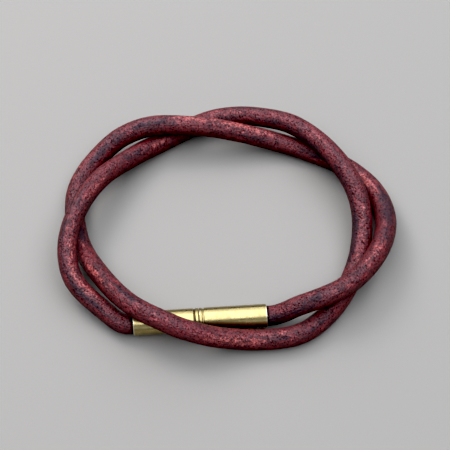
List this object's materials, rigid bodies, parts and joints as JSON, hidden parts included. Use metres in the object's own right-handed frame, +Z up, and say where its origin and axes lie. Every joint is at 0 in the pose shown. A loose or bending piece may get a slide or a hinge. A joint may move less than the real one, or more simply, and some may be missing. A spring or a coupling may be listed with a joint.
{
  "type": "wrap bracelet",
  "caption": "Loose double loop of round leather cord, closed at the front by a turned brass barrel clasp with a ringed parting line.",
  "frame": {"origin": "middle of the bracelet's box, on the surface that it lies on", "axes": "+Z up, +X along the longer way across the loop with the clasp nearly along it, +Y from the clasp at the front to the back of the loop"},
  "size_m": [0.0844, 0.072, 0.0111],
  "materials": {
    "leather": "waxed oxblood leather, mottled and rubbed, satin",
    "brass": "turned, lightly worn, satin to bright",
    "pin_steel": "plain turned"
  },
  "bodies": {
    "root": {"leather_cord": "leather", "clasp_left_half": "brass", "clasp_right_half": "brass", "clasp_pin": "pin_steel"}
  },
  "joints": []
}
